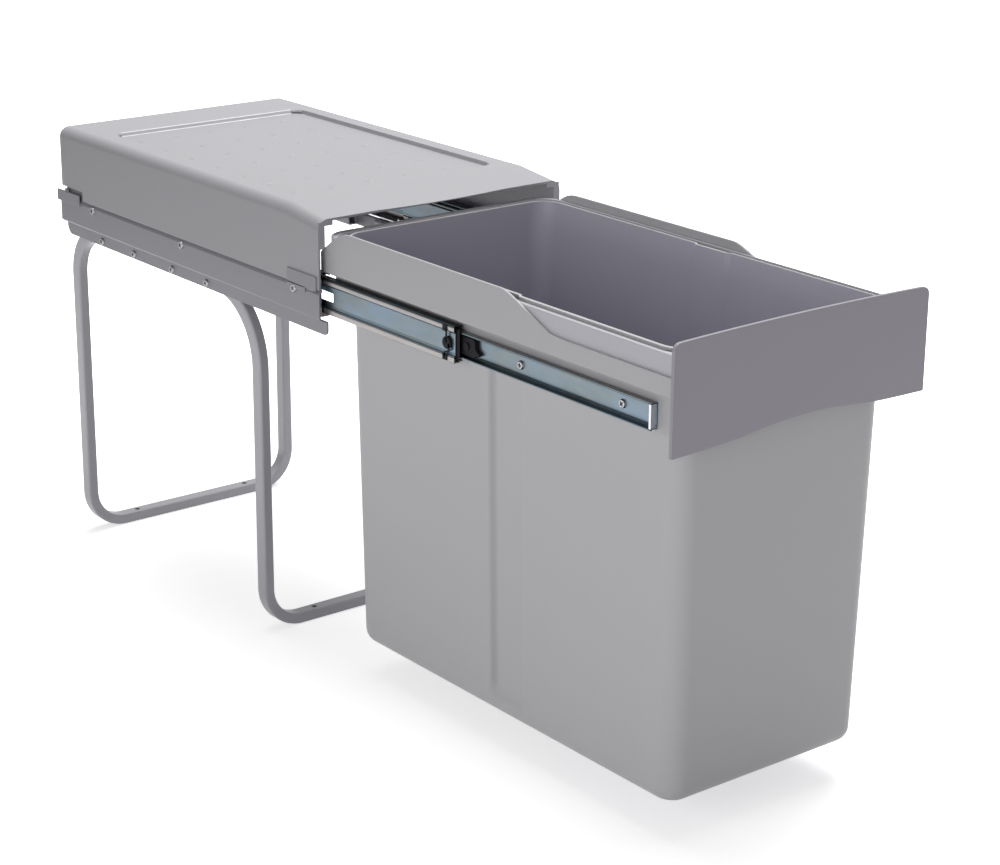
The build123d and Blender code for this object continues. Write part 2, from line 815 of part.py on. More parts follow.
# Bin: a drafted tub with a collar, a flange that rests on the ring, and a pilaster in each long side
collar_radius = ring_inner_radius - bin_seat_gap - flange_end_width
with BuildPart() as cavity:
    with BuildSketch(Plane.XY.offset(collar_bottom)):
        outline(
            body_half_width - bin_wall, body_rear - bin_wall, body_front + bin_wall,
            bin_corner_radius - bin_wall, bin_corner_radius - bin_wall,
        )
    extrude(amount=bin_floor_height + bin_wall - collar_bottom, taper=bin_draft)
    fillet(cavity.edges().group_by(Axis.Z)[0], bin_foot_radius - bin_wall)

with BuildPart() as waste_bin:
    with BuildSketch(Plane.XY.offset(collar_bottom)):
        outline(body_half_width, body_rear, body_front, bin_corner_radius, bin_corner_radius)
    extrude(amount=bin_floor_height - collar_bottom, taper=bin_draft)
    fillet(waste_bin.edges().group_by(Axis.Z)[0], bin_foot_radius)

    # The grooves outside follow the draft of the long sides
    wall_length = collar_bottom - bin_floor_height
    for side in (-1, 1):
        lean = Vector(side, 0, 0).rotate(Axis.Y, side * bin_draft)
        with BuildSketch(
            Plane(
                origin=(side * body_half_width, pilaster_place, collar_bottom),
                x_dir=(0, side, 0),
                z_dir=lean,
            )
        ):
            Rectangle(groove_width, wall_length - bin_foot_radius, align=(Align.CENTER, Align.MAX))
        extrude(amount=-groove_depth, mode=Mode.SUBTRACT)
    add(cavity.part, mode=Mode.SUBTRACT)

    # The collar stands on a narrow step, and its flange rests on the ring
    with BuildSketch(Plane.XY.offset(collar_bottom - bin_wall)):
        outline(collar_half_width, collar_rear, collar_front, collar_radius, collar_radius)
        with BuildSketch(mode=Mode.SUBTRACT):
            outline(
                body_half_width - bin_wall, body_rear - bin_wall, body_front + bin_wall,
                bin_corner_radius - bin_wall, bin_corner_radius - bin_wall,
            )
    extrude(amount=bin_wall)
    with BuildSketch(Plane.XY.offset(collar_bottom - bin_wall)):
        outline(collar_half_width, collar_rear, collar_front, collar_radius, collar_radius)
        with BuildSketch(mode=Mode.SUBTRACT):
            outline(
                collar_half_width - collar_wall, collar_rear - collar_wall, collar_front + collar_wall,
                collar_radius - collar_wall, collar_radius - collar_wall,
            )
    extrude(amount=collar_height + bin_wall)
    with BuildSketch(Plane.XY.offset(ledge_top)):
        outline(
            flange_half_width, flange_rear, flange_front,
            collar_radius + flange_end_width, collar_radius + flange_end_width,
        )
        with BuildSketch(mode=Mode.SUBTRACT):
            outline(
                collar_half_width - collar_wall / 2, collar_rear - collar_wall / 2,
                collar_front + collar_wall / 2, collar_radius, collar_radius,
            )
    extrude(amount=flange_wall)

    # Pilasters inside, which lean with the wall, with a notch in the rim above each
    for side in (-1, 1):
        lean = Vector(side, 0, 0).rotate(Axis.Y, side * bin_draft)
        inner_wall_face = body_half_width - bin_wall
        with BuildSketch(
            Plane(
                origin=(side * inner_wall_face, pilaster_place, collar_bottom),
                x_dir=(0, side, 0),
                z_dir=lean,
            )
        ):
            Rectangle(pilaster_width, wall_length - bin_wall, align=(Align.CENTER, Align.MAX))
        extrude(amount=-pilaster_depth)
        with BuildSketch(Plane.XY.offset(collar_bottom)):
            with Locations((side * (inner_wall_face - pilaster_depth), pilaster_place)):
                Rectangle(
                    collar_half_width - collar_wall / 2 - inner_wall_face + pilaster_depth,
                    pilaster_width,
                    align=(Align.MIN if side > 0 else Align.MAX, Align.CENTER),
                )
        extrude(amount=collar_height - pilaster_top_drop)
        with BuildSketch(Plane.XY.offset(rim_top)):
            with Locations((side * collar_half_width, pilaster_place - pilaster_width / 2)):
                Rectangle(2 * flange_side_width, rim_notch_width)
        extrude(amount=-flange_drop, mode=Mode.SUBTRACT)
save(waste_bin, "waste_bin")

# Front panel with rounded top corners and a waved lower edge
with BuildPart() as front_panel:
    panel_half_width = panel_width / 2
    panel_low = panel_top - panel_side_height
    with BuildSketch(Plane.XZ.offset(-panel_back)):
        with BuildLine():
            wave = Spline(
                [
                    (x_share * panel_half_width, panel_low + z_share * panel_wave_height)
                    for x_share, z_share in panel_wave_shares
                ]
            )
            FilletPolyline(
                wave @ 1,
                (panel_half_width, panel_top),
                (-panel_half_width, panel_top),
                wave @ 0,
                radius=panel_corner_radius,
            )
        make_face()
    extrude(amount=panel_wall)
    with BuildSketch(Plane.XZ.offset(-panel_back)):
        with Locations(*both_sides):
            Circle(screw_shank_radius + screw_hole_gap)
    extrude(amount=panel_screw_bite, mode=Mode.SUBTRACT)
save(front_panel, "front_panel")
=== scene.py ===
import math

import bmesh
import bpy
from mathutils import Matrix, Vector


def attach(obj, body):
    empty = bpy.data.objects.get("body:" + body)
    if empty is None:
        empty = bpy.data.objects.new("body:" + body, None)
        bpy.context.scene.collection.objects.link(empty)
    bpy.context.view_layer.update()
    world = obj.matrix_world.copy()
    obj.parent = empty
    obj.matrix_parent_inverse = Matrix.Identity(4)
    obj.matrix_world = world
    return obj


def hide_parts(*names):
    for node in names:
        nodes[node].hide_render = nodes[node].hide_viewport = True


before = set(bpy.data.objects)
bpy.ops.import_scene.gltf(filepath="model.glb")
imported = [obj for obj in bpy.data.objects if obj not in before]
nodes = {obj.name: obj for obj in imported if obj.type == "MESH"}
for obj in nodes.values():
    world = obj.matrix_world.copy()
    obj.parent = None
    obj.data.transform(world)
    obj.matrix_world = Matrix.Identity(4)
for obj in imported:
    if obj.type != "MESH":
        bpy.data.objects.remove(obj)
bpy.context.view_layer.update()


# Moulded cover.
# A shallow lid of mid-grey polypropylene with a satin grain, pressed over the side rails.
# Its top is sunk, with rows of low pimples, and its front edge has a finger scoop.
class Shade:
    """One socket of a material's nodes. Sums of sockets add Math nodes, node() adds any other."""

    def __init__(self, tree, socket=None):
        self.tree = tree
        self.socket = socket

    def node(self, kind, settings, inputs, output=0):
        made = self.tree.nodes.new("ShaderNode" + kind)
        for name, value in settings.items():
            setattr(made, name, value)
        for name, value in inputs.items():
            if isinstance(value, Shade):
                self.tree.links.new(value.socket, made.inputs[name])
            else:
                made.inputs[name].default_value = value
        return Shade(self.tree, made.outputs[output])

    def maths(self, operation, first, second):
        return self.node("Math", {"operation": operation}, {0: first, 1: second})

    def __add__(self, other):
        return self.maths("ADD", self, other)

    def __radd__(self, other):
        return self.maths("ADD", other, self)

    def __sub__(self, other):
        return self.maths("SUBTRACT", self, other)

    def __rsub__(self, other):
        return self.maths("SUBTRACT", other, self)

    def __mul__(self, other):
        return self.maths("MULTIPLY", self, other)

    def __rmul__(self, other):
        return self.maths("MULTIPLY", other, self)

    def __truediv__(self, other):
        return self.maths("DIVIDE", self, other)

    def __abs__(self):
        return self.maths("ABSOLUTE", self, 0.0)

    def clipped(self):
        """Keep within 0 and 1."""
        return self.node("Clamp", {}, {"Value": self})

    def blend(self, low, high):
        """Mix two colours by this mask."""
        return self.node("Mix", {"data_type": "RGBA"}, {0: self, 6: low, 7: high}, 2)

    def feed(self, shader, name):
        self.tree.links.new(self.socket, shader.inputs[name])


def finish(name, roughness, metallic=0.0):
    """Start a material and hand back it, its shader and the place on the object."""
    material = bpy.data.materials.new(name)
    material.use_nodes = True
    shader = material.node_tree.nodes["Principled BSDF"]
    shader.inputs["Roughness"].default_value = roughness
    shader.inputs["Metallic"].default_value = metallic
    place = Shade(material.node_tree).node("TexCoord", {}, {}, "Object")
    return material, shader, place


def coordinate(place, axis):
    """Take one coordinate of a place."""
    return place.node("SeparateXYZ", {}, {"Vector": place}, axis)


def noise(place, grain, detail=2.0, stretch=(1, 1, 1)):
    """Add a noise whose blotches are about a grain wide, in metres, stretched along X, Y and Z."""
    scaled = place.node("Mapping", {}, {"Vector": place, "Scale": stretch})
    return place.node("TexNoise", {}, {"Vector": scaled, "Scale": 1 / grain, "Detail": detail}, 0)


def tinted(colour, share):
    """Make a colour lighter or darker by a share of itself."""
    return (*[min(1.0, part * share) for part in colour], 1.0)


def rounded_edges(place, radius):
    """Round the edges in the light: the softened normal, and a mask that is 1 on the edges, which
    grained() uses to paint highlights there.
    """
    soft = place.node("Bevel", {"samples": 6}, {"Radius": radius}, "Normal")
    true = place.node("NewGeometry", {}, {}, "Normal")
    along = place.node("VectorMath", {"operation": "DOT_PRODUCT"}, {0: soft, 1: true}, "Value")
    return soft, ((1 - along) * 6).clipped()


def grained(name, colour, roughness, grain, depth, edge_radius, edge_highlight_share=1.08, dress=None):
    """Make the finish of moulded plastic or powder paint: fine grain, faint clouds, and edges
    lightened as painted highlights.
    """
    material, shader, place = finish(name, roughness)
    clouds = noise(place, 0.07, 3.0)
    pores = noise(place, grain, 2.0)
    soft, edges = rounded_edges(place, edge_radius)
    body = clouds.blend(tinted(colour, 0.965), tinted(colour, 1.035))
    speckled = ((pores - 0.5) * 0.8 + 0.5).clipped().blend(body, tinted(colour, 1.02))
    # Painted highlight: the edges are lightened to a share of the colour
    tone = edges.blend(speckled, tinted(colour, edge_highlight_share))
    if dress:
        tone = dress(place, tone)
    tone.feed(shader, "Base Color")
    (roughness + (pores - 0.5) * 0.16 + (clouds - 0.5) * 0.08).feed(shader, "Roughness")
    bump = place.node(
        "Bump", {}, {"Strength": 0.35, "Distance": depth, "Height": pores, "Normal": soft}
    )
    bump.feed(shader, "Normal")
    return material


def select_only(piece):
    bpy.ops.object.select_all(action="DESELECT")
    piece.select_set(True)
    bpy.context.view_layer.objects.active = piece


def apply(piece, kind, **settings):
    """Add a modifier to a piece and apply it."""
    select_only(piece)
    modifier = piece.modifiers.new(kind.title(), kind)
    for name, value in settings.items():
        setattr(modifier, name, value)
    bpy.ops.object.modifier_apply(modifier=modifier.name)


def copied(piece):
    """Copy a piece together with its mesh."""
    twin = piece.copy()
    twin.data = piece.data.copy()
    bpy.context.collection.objects.link(twin)
    return twin


def reworked(node):
    """Copy a CAD node with its loose triangles merged, to finish its shape by hand."""
    piece = copied(nodes[node])
    select_only(piece)
    bpy.ops.mesh.customdata_custom_splitnormals_clear()
    bpy.ops.object.mode_set(mode="EDIT")
    bpy.ops.mesh.select_all(action="SELECT")
    bpy.ops.mesh.remove_doubles(threshold=0.00001)
    bpy.ops.object.mode_set(mode="OBJECT")
    return piece


def joined(*pieces):
    bpy.ops.object.select_all(action="DESELECT")
    for piece in pieces:
        piece.select_set(True)
    bpy.context.view_layer.objects.active = pieces[0]
    bpy.ops.object.join()
    return pieces[0]


def set_out(piece, turns, places, name):
    """Put copies of a piece in its places, turned as each needs, as one piece in its stead."""
    made = []
    for turn, place in zip(turns, places):
        made.append(copied(piece))
        made[-1].data.transform(Matrix.Translation(place) @ turn)
    bpy.data.objects.remove(piece)
    row = joined(*made)
    row.name = name
    return row


def seat(piece, name, material, body, slot, *replaced):
    """Finish a piece: its name, its material, the body it rides on and the nodes it stands for."""
    piece.name = name
    piece.data.materials.clear()
    piece.data.materials.append(material)
    select_only(piece)
    bpy.ops.object.shade_smooth_by_angle(angle=math.radians(32))
    apply(piece, "WEIGHTED_NORMAL", keep_sharp=True)
    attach(piece, body)
    if replaced:
        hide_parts(*replaced)


near = 0.0001
cover_grey = (0.320, 0.318, 0.336)
cover_top = 0.4095
sunk_rear, sunk_front, sunk_half_width, sunk_floor = 0.105, -0.209, 0.104, 0.406
# Where the sunk top's rear wall gets painted light, with painted highlights along its two edges
highlit_wall_middle, highlit_wall_reach, highlit_wall_half_width = 0.1045, 0.0017, 0.0955


def painted_wall_highlight(place, tone):
    """Paint the sunk top's rear wall lighter, as painted light, and its two edges as pale lines of
    painted highlight.
    """
    from_middle = abs(coordinate(place, "Y") - highlit_wall_middle)
    wall = ((highlit_wall_reach - from_middle) * 2500).clipped()
    wall = wall * ((highlit_wall_half_width - abs(coordinate(place, "X"))) * 1500).clipped()
    level = coordinate(place, "Z")
    top_highlight_line = (1 - abs(level - cover_top) * 1100).clipped()
    foot_highlight_line = (1 - abs(level - sunk_floor) * 1100).clipped()
    # Painted light on the wall, then painted highlights along its top and foot edges
    painted_wall_light = (wall * 0.5).blend(tone, (0.70, 0.70, 0.72, 1))
    return (wall * (top_highlight_line + foot_highlight_line).clipped()).blend(painted_wall_light, (0.93, 0.93, 0.95, 1))


cover_finish = grained(
    "cover_plastic", cover_grey, 0.52, 0.0009, 0.00005, 0.0009, 1.06, dress=painted_wall_highlight
)

# The front edge is one wall thick, and the sunk top has steep walls
cover = reworked("lid_cover")
lip_rear, lip_half_width, lip_foot, lip_height = -0.2699, 0.1181, 0.400, 0.002
sunk_middle = (sunk_rear + sunk_front) / 2
sunk_half_length = (sunk_rear - sunk_front) / 2
sloped_run, steep_run = 0.0035, 0.0013
for corner in cover.data.vertices:
    place = corner.co
    across, along = abs(place.x), place.y - sunk_middle
    if place.y < lip_rear and abs(place.z - lip_foot) < near and across < lip_half_width:
        place.z += lip_height
    in_sunk = across < sunk_half_width and abs(along) < sunk_half_length
    if in_sunk and abs(place.z - sunk_floor) < near:
        place.x *= (sunk_half_width - steep_run) / (sunk_half_width - sloped_run)
        along *= (sunk_half_length - steep_run) / (sunk_half_length - sloped_run)
        place.y = sunk_middle + along
seat(cover, "cover", cover_finish, "base", "cover_plastic", "lid_cover")
flat_half_width, scoop_rear = 0.1175, -0.215
for face in cover.data.polygons:
    half_width = max(abs(cover.data.vertices[corner].co.x) for corner in face.vertices)
    if half_width < flat_half_width and face.normal.z > 0.9 and face.center.y > scoop_rear:
        face.use_smooth = False

# Pimples on the sunk top, five across and seven along
pimple_radius, pimple_height, pimple_sink, pimple_rings = 0.0062, 0.0011, 0.00004, 6
bpy.ops.object.select_all(action="DESELECT")
bpy.ops.mesh.primitive_circle_add(vertices=28, radius=pimple_radius, fill_type="NOTHING")
pimple = bpy.context.object
bpy.ops.object.mode_set(mode="EDIT")
for ring in range(1, pimple_rings):
    bpy.ops.mesh.extrude_region_move()
    bpy.ops.transform.resize(value=((pimple_rings - ring) / (pimple_rings - ring + 1),) * 3)
bpy.ops.mesh.edge_face_add()
bpy.ops.object.mode_set(mode="OBJECT")
for corner in pimple.data.vertices:
    reach = math.hypot(corner.co.x, corner.co.y) / pimple_radius
    corner.co.z = pimple_height * (1 + math.cos(math.pi * reach)) / 2
select_only(pimple)
bpy.ops.object.shade_smooth()
pimple_places = [
    (x, y, sunk_floor - pimple_sink)
    for x in (-0.092, -0.053, -0.015, 0.025, 0.067)
    for y in (0.073, 0.025, -0.020, -0.065, -0.108, -0.148, -0.186)
]
pimples = set_out(pimple, [Matrix()] * len(pimple_places), pimple_places, "cover_pimples")
pimples.data.materials.append(cover_finish)
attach(pimples, "base")


# Side rails and leg hoops.
# The rails are pressed from steel sheet and the hoops bent from flat-sided steel tube, both with
# a satin grey powder coat. The rails are screwed to the hoops, with a tab at their front ends.
def block(middle, size):
    """Add a box by its middle and its size."""
    bpy.ops.object.select_all(action="DESELECT")
    bpy.ops.mesh.primitive_cube_add(size=1, location=middle, scale=size)
    bpy.ops.object.transform_apply(location=True, scale=True)
    return bpy.context.object


def slab(inner, outer, front, rear, low, high):
    """Add a box between two planes across each axis."""
    return block(
        ((inner + outer) / 2, (rear + front) / 2, (low + high) / 2),
        (abs(outer - inner), abs(rear - front), high - low),
    )


slide_level = 0.339
rail_grey = (0.230, 0.223, 0.245)
rail_finish = grained("rail_paint", rail_grey, 0.42, 0.0006, 0.00003, 0.0007, 1.1)
rail_face, tab_face, tab_bite = 0.128, 0.1293, 0.0001
cut_face, cut_end = rail_face + 0.00002, tab_face + 0.002
old_tab = (-0.264, -0.224, 0.3325, 0.3535)
new_tab = (-0.269, -0.226, 0.3432, 0.3555)
tab_root = (-0.253, -0.226, 0.3397, 0.3440)
screw_hole, screw_hole_reach, screw_shift = -0.231, 0.0026, -0.004
for side, sign in (("left", -1), ("right", 1)):
    rail = reworked(f"{side}_side_rail")
    for corner in rail.data.vertices:
        reach = math.hypot(corner.co.y - screw_hole, corner.co.z - slide_level)
        if reach < screw_hole_reach:
            corner.co.y += screw_shift
    cutter = slab(sign * cut_face, sign * cut_end, *old_tab)
    apply(rail, "BOOLEAN", object=cutter, operation="DIFFERENCE", solver="EXACT")
    bpy.data.objects.remove(cutter)
    tab = slab(sign * (rail_face - tab_bite), sign * tab_face, *new_tab)
    root = slab(sign * (rail_face - tab_bite), sign * tab_face, *tab_root)
    rail = joined(rail, tab, root)
    seat(rail, f"{side}_rail", rail_finish, "base", "rail_paint", f"{side}_side_rail")

tube_grey = (0.390, 0.382, 0.412)
tube_finish = grained("tube_paint", tube_grey, 0.38, 0.0006, 0.00003, 0.0005, 1.05)
leg_foot, leg_run, run_rise = 0.05, 0.22, 0.0033
for side in ("rear", "front"):
    hoop = reworked(f"{side}_leg_hoop")
    for corner in hoop.data.vertices:
        corner.co.z += run_rise * min(1, max(0, (corner.co.z - leg_foot) / leg_run))
    seat(hoop, f"{side}_hoop", tube_finish, "base", "tube_paint", f"{side}_leg_hoop")


# Screws.
# Bright zinc-plated pan-head screws with a cross recess hold the rails to the slides and hoops,
# the plates to the inner slide members, and the panel to the plates.
def wear(material, *names):
    """Give CAD nodes their finish."""
    for name in names:
        for place in nodes[name].material_slots:
            place.material = material


def pick(piece, kind, test):
    """Select those corners, edges or faces of a piece in edit mode that pass a test."""
    bpy.ops.mesh.select_mode(type=kind)
    bpy.ops.mesh.select_all(action="DESELECT")
    form = bmesh.from_edit_mesh(piece.data)
    for part in {"VERT": form.verts, "EDGE": form.edges, "FACE": form.faces}[kind]:
        part.select_set(test(part))
    form.select_flush_mode()
    bmesh.update_edit_mesh(piece.data)


screw_finish, screw_shader, screw_place = finish("screw_steel", 0.28, 1.0)
turned = noise(screw_place, 0.0007, 3.0)
turned.blend((0.30, 0.30, 0.31, 1), (0.42, 0.41, 0.41, 1)).feed(screw_shader, "Base Color")
(0.26 + turned * 0.2).feed(screw_shader, "Roughness")
rounded_edges(screw_place, 0.0008)[0].feed(screw_shader, "Normal")
wear(screw_finish, "leg_screws", "slide_screws", "panel_screws")
front_screws_start = -0.2
screws = reworked("rail_screws")
for corner in screws.data.vertices:
    if corner.co.y < front_screws_start:
        corner.co.y += screw_shift
        corner.co.x -= math.copysign(tab_face - rail_face, corner.co.x)
seat(screws, "rail_fixings", screw_finish, "base", "screw_steel", "rail_screws")

# The cross recesses are dark sheets of painted shade, standing in for their shaded hollows
recess_shade_finish, recess_shade_shader, recess_shade_place = finish("painted_recess_shade", 0.8)
shadow = noise(recess_shade_place, 0.002)
shadow.blend((0.02, 0.02, 0.022, 1), (0.045, 0.045, 0.05, 1)).feed(recess_shade_shader, "Base Color")
recess_span, recess_skin = 0.0038, 0.00012
bpy.ops.object.select_all(action="DESELECT")
bpy.ops.mesh.primitive_grid_add(x_subdivisions=3, y_subdivisions=3, size=recess_span)
cross = bpy.context.object
bpy.ops.object.mode_set(mode="EDIT")
pick(cross, "FACE", lambda face: min(map(abs, face.calc_center_median()[:2])) > recess_span / 6)
bpy.ops.mesh.delete(type="FACE")
bpy.ops.object.mode_set(mode="OBJECT")
apply(cross, "SOLIDIFY", thickness=recess_skin, offset=0.0)
cross.data.transform(Matrix.Rotation(math.radians(90), 4, "Y"))
slide_cross = copied(cross)
cross_angles = (12, 50, 31, 70, 5, 64, 40)
cross_turns = [Matrix.Rotation(math.radians(angle), 4, "X") for angle in cross_angles]
rail_head, hoop_head, hoop_head_level, slide_head = 0.1298, 0.1238, 0.3097, 0.1146
head_seats = [
    *[(rail_head, along, slide_level) for along in (0.106, -0.054)],
    *[(hoop_head, along, hoop_head_level) for along in (0.101, 0.042, -0.026, -0.085)],
    (rail_head, screw_hole + screw_shift, slide_level),
]
frame_places = [(sign * x, y, z) for sign in (-1, 1) for x, y, z in head_seats]
slide_places = [
    (sign * slide_head, along, slide_level) for sign in (-1, 1) for along in (-0.520, -0.637)
]
for crosses, body in (
    (set_out(cross, cross_turns * 2, frame_places, "frame_screw_recess_shade"), "base"),
    (set_out(slide_cross, cross_turns[:2] * 2, slide_places, "slide_screw_recess_shade"), "carrier"),
):
    crosses.data.materials.append(recess_shade_finish)
    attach(crosses, body)


# Telescopic slides.
# Roll-formed steel members with a blue zinc plate. The webs stay blue and faintly mottled, the
# rolled shoulders are a paler pinkish grey, dark lines of painted shade run along the rolls, the
# upper lip and the low groove, a painted highlight runs along the inner members' bottom edge,
# and each member runs on balls in the one outside it.
zinc_finish, zinc_shader, zinc_place = finish("zinc_steel", 0.3, 1.0)
inner_half = max(corner.co.z for corner in nodes["left_inner_slide"].data.vertices) - slide_level
zinc_level = coordinate(zinc_place, "Z")
from_axis = abs(zinc_level - slide_level)
mottle = noise(zinc_place, 0.006, 4.0, (1, 0.35, 1))
streaks = noise(zinc_place, 0.0012, 2.0, (1, 0.04, 1))
patches = ((noise(zinc_place, 0.03, 2.0, (1, 0.5, 1)) - 0.42) * 5).clipped()
blue = mottle.blend((0.10, 0.150, 0.190, 1), (0.20, 0.215, 0.210, 1))
blue = patches.blend(blue, (0.155, 0.200, 0.245, 1))
# The rolled shoulders are a paler pinkish grey
shoulder_tone = mottle.blend((0.25, 0.235, 0.235, 1), (0.33, 0.315, 0.31, 1))
shoulder = ((from_axis - 0.0098) * 900).clipped()
# Painted shade: dark lines along the roll under each shoulder, the upper lip and the low groove
roll_shade_line = (1 - abs(from_axis - 0.0094) * 1400).clipped()
lip_shade = ((zinc_level - (slide_level + 0.0128)) * 1200).clipped()
low_shade_line = (1 - abs(zinc_level - (slide_level - 0.0074)) * 1100).clipped() * 0.8
painted_shade_lines = (roll_shade_line + lip_shade + low_shade_line).clipped()
# Painted highlight: a pale line along the inner members' bottom edge
low_edge_highlight = ((slide_level + 0.001 - inner_half - zinc_level) * 3000).clipped()
low_edge_highlight = low_edge_highlight * ((0.1165 - abs(coordinate(zinc_place, "X"))) * 3000).clipped()
zinc_tone = shoulder.blend(blue, shoulder_tone)
zinc_tone = (painted_shade_lines * 0.85).blend(zinc_tone, (0.012, 0.03, 0.04, 1))
(low_edge_highlight * 0.8).blend(zinc_tone, (0.72, 0.72, 0.74, 1)).feed(zinc_shader, "Base Color")
(0.24 + streaks * 0.12 + mottle * 0.08).feed(zinc_shader, "Roughness")
zinc_soft = rounded_edges(zinc_place, 0.0006)[0]
zinc_bump = zinc_place.node(
    "Bump", {}, {"Strength": 0.12, "Distance": 0.00003, "Height": streaks, "Normal": zinc_soft}
)
zinc_bump.feed(zinc_shader, "Normal")

ball_finish, ball_shader, ball_place = finish("ball_steel", 0.12, 1.0)
polish = noise(ball_place, 0.0008)
polish.blend((0.66, 0.67, 0.68, 1), (0.76, 0.77, 0.78, 1)).feed(ball_shader, "Base Color")
(0.08 + polish * 0.1).feed(ball_shader, "Roughness")
for side in ("left", "right"):
    wear(zinc_finish, f"{side}_outer_slide", f"{side}_middle_slide", f"{side}_inner_slide")
    wear(zinc_finish, f"{side}_outer_cage")
    wear(ball_finish, f"{side}_outer_balls", f"{side}_inner_balls")

# The inner members' front ends are closed by a bright pressed tab
end_finish, end_shader, end_place = finish("zinc_end", 0.35, 1.0)
end_spots = noise(end_place, 0.003)
end_spots.blend((0.50, 0.51, 0.53, 1), (0.62, 0.63, 0.65, 1)).feed(end_shader, "Base Color")
end_depth, end_thickness, end_rim, end_press, end_inset = 0.0088, 0.0022, 0.0016, 0.0012, 0.0004
for side, sign in (("left", -1), ("right", 1)):
    corners = [corner.co for corner in nodes[f"{side}_inner_slide"].data.vertices]
    tip = min(corner.y for corner in corners)
    web = max(abs(corner.x) for corner in corners if corner.y < tip + 0.001)
    end_tab = block(
        (sign * (web - end_depth / 2), tip + end_thickness / 2, slide_level),
        (end_depth, end_thickness, 2 * (inner_half - end_inset)),
    )
    bpy.ops.object.mode_set(mode="EDIT")
    pick(end_tab, "FACE", lambda face: face.normal.y < -0.5)
    bpy.ops.mesh.inset(thickness=end_rim)
    bpy.ops.transform.translate(value=(0, end_press, 0))
    bpy.ops.object.mode_set(mode="OBJECT")
    seat(end_tab, f"{side}_slide_end", end_finish, "carrier", "zinc_steel")


# Black plastic on the slides.
# The end bumpers, the release levers and the inner ball cages are moulded in black polyamide.
# A bumper clips onto the middle member's front end, and a lever turns on a pin in the inner one.
def smooth_line(points, steps):
    """Run a smooth line through points."""
    ends = [points[0], *points, points[-1]]
    line = []
    for first, second, third, fourth in zip(ends, ends[1:], ends[2:], ends[3:]):
        for step in range(steps):
            t = step / steps
            line.append(
                tuple(
                    b + (c - a) * t / 2 + (2 * a - 5 * b + 4 * c - d) * t**2 / 2
                    + (3 * b - a - 3 * c + d) * t**3 / 2
                    for a, b, c, d in zip(first, second, third, fourth)
                )
            )
    return [*line, points[-1]]


def cut_sheet(across, outline, thickness):
    """Draw an outline on the slide's side, fill it and thicken it to both sides."""
    corners = [Vector((across, along, slide_level + level)) for along, level in outline]
    bpy.ops.object.select_all(action="DESELECT")
    bpy.ops.mesh.primitive_plane_add(size=0.001, location=corners[0])
    sheet = bpy.context.object
    bpy.ops.object.transform_apply(location=True)
    bpy.ops.object.mode_set(mode="EDIT")
    bpy.ops.mesh.select_mode(type="VERT")
    bpy.ops.mesh.select_all(action="SELECT")
    bpy.ops.mesh.merge(type="CENTER")
    for last, corner in zip(corners, corners[1:]):
        bpy.ops.mesh.extrude_vertices_move(TRANSFORM_OT_translate={"value": corner - last})
    bpy.ops.mesh.select_all(action="SELECT")
    bpy.ops.mesh.edge_face_add()
    bpy.ops.object.mode_set(mode="OBJECT")
    apply(sheet, "SOLIDIFY", thickness=thickness, offset=0.0)
    return sheet


def mirrored(piece):
    """Copy a left piece to the right."""
    twin = copied(piece)
    twin.data.transform(Matrix.Diagonal((-1, 1, 1, 1)))
    twin.data.flip_normals()
    return twin


def seat_pair(piece, name, material, body, slot, node):
    """Finish a left piece and its mirrored copy on the right."""
    for side, twin in (("right", mirrored(piece)), ("left", piece)):
        seat(twin, f"{side}_{name}", material, f"{side}_{body}", slot, f"{side}_{node}")


black = (0.009, 0.009, 0.011)
black_finish = grained("black_plastic", black, 0.62, 0.0005, 0.00002, 0.0002, 1.3)
black_shader = black_finish.node_tree.nodes["Principled BSDF"]
black_shader.inputs["Specular IOR Level"].default_value = 0.15
for side in ("left", "right"):
    wear(black_finish, f"{side}_lever_pin", f"{side}_inner_cage")

# A bumper is a disc with a pad above on a straight neck and a pad below on a bent arm
bumper_face, bumper_place, bumper_wall = -0.1224, -0.439, 0.0006
disc_radius, disc_depth = 0.0049, 0.0020
pad_place, pad_level, pad_width, pad_height = -0.437, 0.0115, 0.0055, 0.005
arm_place, arm_bend, arm_end, arm_half, neck_half = -0.442, -0.0055, -0.0078, 0.0012, 0.0009
arm_points = [(arm_place, 0), (arm_place, arm_bend), (pad_place, arm_end), (pad_place, -pad_level)]
arm_run = smooth_line(arm_points, 4)
arm_sides = [[(along + side * arm_half, level) for along, level in arm_run] for side in (-1, 1)]
arm = cut_sheet(bumper_face, [*arm_sides[0], *reversed(arm_sides[1])], bumper_wall)
neck_outline = [
    (bumper_place - neck_half, 0), (bumper_place + neck_half, 0),
    (bumper_place + neck_half, pad_level), (bumper_place - neck_half, pad_level),
]
neck = cut_sheet(bumper_face, neck_outline, bumper_wall)
pads = [
    block((bumper_face, pad_place, slide_level + level), (bumper_wall, pad_width, pad_height))
    for level in (-pad_level, pad_level)
]
bpy.ops.mesh.primitive_cylinder_add(
    vertices=40, radius=disc_radius, depth=disc_depth, rotation=(0, math.radians(90), 0),
    location=(bumper_face + (disc_depth - bumper_wall) / 2, bumper_place, slide_level),
)
disc = bpy.context.object
bpy.ops.object.transform_apply(location=True, rotation=True)
bumper = joined(disc, arm, neck, *pads)
seat_pair(bumper, "bumper", black_finish, "middle", "black_plastic", "end_bumper")

